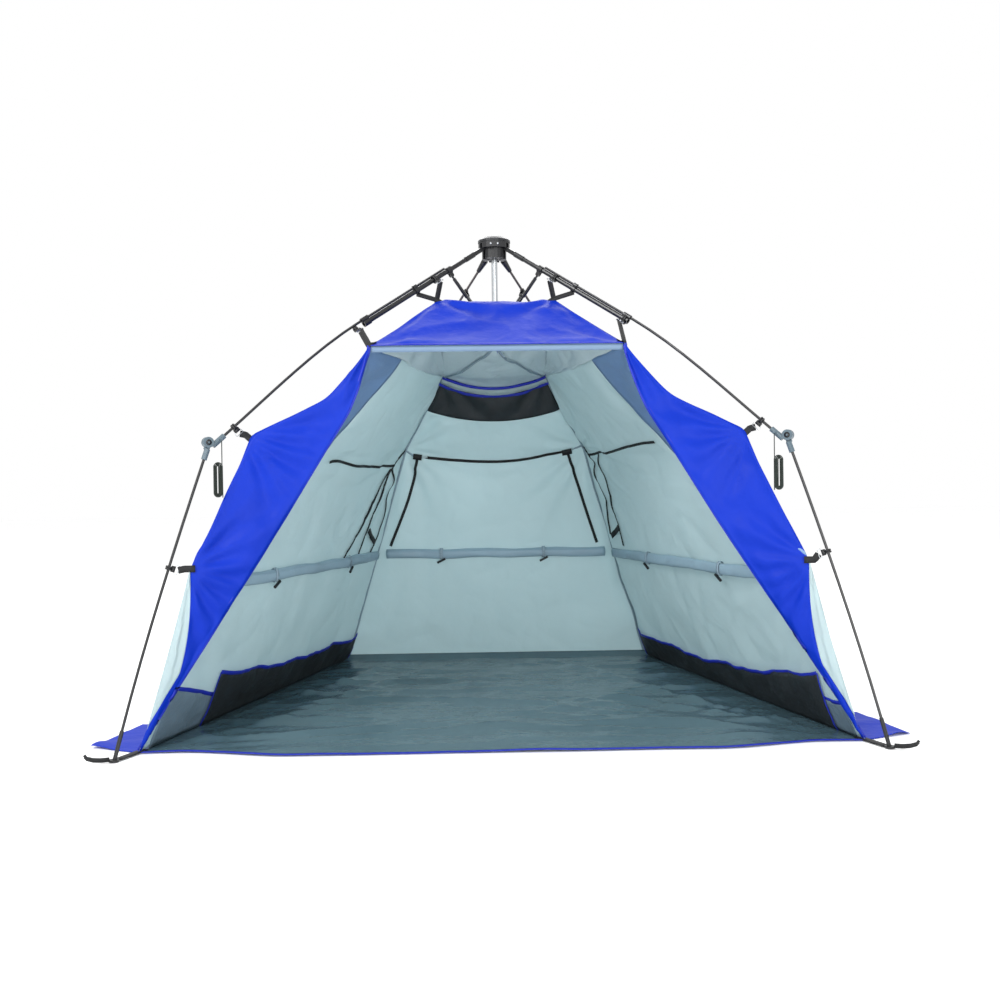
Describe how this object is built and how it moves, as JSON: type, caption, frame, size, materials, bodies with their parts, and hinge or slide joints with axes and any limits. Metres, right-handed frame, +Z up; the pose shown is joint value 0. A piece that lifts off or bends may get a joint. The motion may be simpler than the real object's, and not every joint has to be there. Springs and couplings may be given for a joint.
{
  "type": "beach tent",
  "caption": "Instant beach tent: glass-fibre legs hang a cloth shelter with floor, side walls and rear wall from a central sliding hub; the frame folds like an umbrella.",
  "frame": {"origin": "on the ground straight under the hub", "axes": "+Z up, -Y out of the open front, +X to the right as seen from the front"},
  "size_m": [2.4232, 1.7446, 1.6163],
  "materials": {
    "black_net": "open knitted mesh",
    "black_plastic": "fine moulded grain",
    "black_steel": "black powder coat",
    "blue_cloth": "plain-weave polyester, coated",
    "bright_steel": "bright drawn tube",
    "glass_fibre": "smooth pultruded rod, near black",
    "grey_cloth": "plain-weave polyester with a pale silver coating",
    "ground_sheet": "coated ground sheet, slightly shiny",
    "guy_cord": "black braid with green flecks",
    "slate_plastic": "smooth moulded, blue-grey"
  },
  "bodies": {
    "hub_and_fabric": {"top_hub": "black_plastic", "hub_cap": "black_plastic", "guide_rod": "bright_steel", "roof_front": "blue_cloth", "roof_side_left": "blue_cloth", "roof_side_right": "blue_cloth", "roof_back": "blue_cloth", "wing_left": "blue_cloth", "wing_right": "blue_cloth", "shoulder_left": "blue_cloth", "shoulder_right": "blue_cloth", "side_wall_left": "grey_cloth", "side_wall_right": "grey_cloth", "sand_flap_left": "blue_cloth", "sand_flap_right": "blue_cloth", "gear_pocket_left": "black_net", "gear_pocket_right": "black_net", "rear_wall": "grey_cloth", "floor": "ground_sheet", "rolled_flap_left": "grey_cloth", "rolled_flap_right": "grey_cloth", "rolled_flap_rear": "grey_cloth"},
    "runner": {"lower_hub": "black_plastic", "post_tube": "bright_steel"},
    "arm_front_left": {"arm_tube_front_left": "black_steel", "arm_rod_front_left": "glass_fibre", "strut_bracket_front_left": "black_plastic", "elbow_upper_front_left": "slate_plastic", "guy_line_front_left": "guy_cord", "guy_hank_front_left": "guy_cord"},
    "strut_front_left": {"strut_front_left": "black_steel"},
    "leg_front_left": {"elbow_lower_front_left": "slate_plastic", "leg_rod_front_left": "glass_fibre", "foot_front_left": "black_plastic"},
    "arm_front_right": {"arm_tube_front_right": "black_steel", "arm_rod_front_right": "glass_fibre", "strut_bracket_front_right": "black_plastic", "elbow_upper_front_right": "slate_plastic", "guy_line_front_right": "guy_cord", "guy_hank_front_right": "guy_cord"},
    "strut_front_right": {"strut_front_right": "black_steel"},
    "leg_front_right": {"elbow_lower_front_right": "slate_plastic", "leg_rod_front_right": "glass_fibre", "foot_front_right": "black_plastic"},
    "arm_rear_left": {"arm_boot_rear_left": "black_plastic", "arm_rod_rear_left": "glass_fibre", "strut_bracket_rear_left": "black_plastic", "elbow_upper_rear_left": "slate_plastic"},
    "strut_rear_left": {"strut_rear_left": "black_steel"},
    "leg_rear_left": {"elbow_lower_rear_left": "slate_plastic", "leg_rod_rear_left": "glass_fibre", "foot_rear_left": "black_plastic"},
    "arm_rear_right": {"arm_boot_rear_right": "black_plastic", "arm_rod_rear_right": "glass_fibre", "strut_bracket_rear_right": "black_plastic", "elbow_upper_rear_right": "slate_plastic"},
    "strut_rear_right": {"strut_rear_right": "black_steel"},
    "leg_rear_right": {"elbow_lower_rear_right": "slate_plastic", "leg_rod_rear_right": "glass_fibre", "foot_rear_right": "black_plastic"}
  },
  "joints": [
    {"name": "fold_front_left", "type": "hinge", "parent": "hub_and_fabric", "child": "arm_front_left", "pos_m": [-0.03036, -0.01934, 1.58], "axis": [0.5373, -0.8434, 0], "range_deg": [0, 48.5], "deforming": ["roof_front", "roof_side_left", "roof_side_right", "roof_back", "wing_left", "wing_right", "shoulder_left", "shoulder_right", "side_wall_left", "side_wall_right", "gear_pocket_left", "gear_pocket_right", "rear_wall", "rolled_flap_left", "rolled_flap_right", "rolled_flap_rear"]},
    {"name": "strut_front_left", "type": "hinge", "parent": "arm_front_left", "child": "strut_front_left", "pos_m": [-0.14612, -0.09309, 1.46821], "axis": [-0.5373, 0.8434, 0], "range_deg": [0, 90]},
    {"name": "elbow_front_left", "type": "hinge", "parent": "arm_front_left", "child": "leg_front_left", "pos_m": [-0.85183, -0.54267, 0.891], "axis": [-0.5373, 0.8434, 0], "range_deg": [0, 204.1]},
    {"name": "fold_front_right", "type": "hinge", "parent": "hub_and_fabric", "child": "arm_front_right", "pos_m": [0.03036, -0.01934, 1.58], "axis": [0.5373, 0.8434, 0], "range_deg": [0, 48.6]},
    {"name": "strut_front_right", "type": "hinge", "parent": "arm_front_right", "child": "strut_front_right", "pos_m": [0.14612, -0.09309, 1.46821], "axis": [-0.5373, -0.8434, 0], "range_deg": [0, 90]},
    {"name": "elbow_front_right", "type": "hinge", "parent": "arm_front_right", "child": "leg_front_right", "pos_m": [0.85183, -0.54267, 0.891], "axis": [-0.5373, -0.8434, 0], "range_deg": [0, 204.1]},
    {"name": "fold_rear_left", "type": "hinge", "parent": "hub_and_fabric", "child": "arm_rear_left", "pos_m": [-0.02044, 0.02963, 1.562], "axis": [-0.8231, -0.5678, 0], "range_deg": [0, 38.9]},
    {"name": "strut_rear_left", "type": "hinge", "parent": "arm_rear_left", "child": "strut_rear_left", "pos_m": [-0.09845, 0.14271, 1.44415], "axis": [0.8231, 0.5678, 0], "range_deg": [0, 77.1]},
    {"name": "elbow_rear_left", "type": "hinge", "parent": "arm_rear_left", "child": "leg_rear_left", "pos_m": [-0.55081, 0.79844, 0.891], "axis": [0.8231, 0.5678, 0], "range_deg": [0, 204.1]},
    {"name": "fold_rear_right", "type": "hinge", "parent": "hub_and_fabric", "child": "arm_rear_right", "pos_m": [0.02044, 0.02963, 1.562], "axis": [-0.8231, 0.5678, 0], "range_deg": [0, 38.9]},
    {"name": "strut_rear_right", "type": "hinge", "parent": "arm_rear_right", "child": "strut_rear_right", "pos_m": [0.09845, 0.14271, 1.44415], "axis": [0.8231, -0.5678, 0], "range_deg": [0, 77.1]},
    {"name": "elbow_rear_right", "type": "hinge", "parent": "arm_rear_right", "child": "leg_rear_right", "pos_m": [0.55081, 0.79844, 0.891], "axis": [0.8231, -0.5678, 0], "range_deg": [0, 204.1]},
    {"name": "runner_slide", "type": "slide", "parent": "hub_and_fabric", "child": "runner", "axis": [0, 0, -1], "range_m": [0, 0.113]}
  ],
  "couplings": [
    {"joint": "strut_front_left", "follows": "fold_front_left", "ratio": 1.8534},
    {"joint": "elbow_front_left", "follows": "fold_front_left", "ratio": 4.206},
    {"joint": "fold_front_right", "follows": "fold_front_left", "ratio": 1},
    {"joint": "strut_front_right", "follows": "fold_front_left", "ratio": 1.8534},
    {"joint": "elbow_front_right", "follows": "fold_front_left", "ratio": 4.206},
    {"joint": "fold_rear_left", "follows": "fold_front_left", "ratio": 0.8002},
    {"joint": "strut_rear_left", "follows": "fold_front_left", "ratio": 1.5873},
    {"joint": "elbow_rear_left", "follows": "fold_front_left", "ratio": 4.206},
    {"joint": "fold_rear_right", "follows": "fold_front_left", "ratio": 0.8002},
    {"joint": "strut_rear_right", "follows": "fold_front_left", "ratio": 1.5873},
    {"joint": "elbow_rear_right", "follows": "fold_front_left", "ratio": 4.206},
    {"joint": "runner_slide", "follows": "fold_front_left", "m_per_rad": 0.13334}
  ]
}
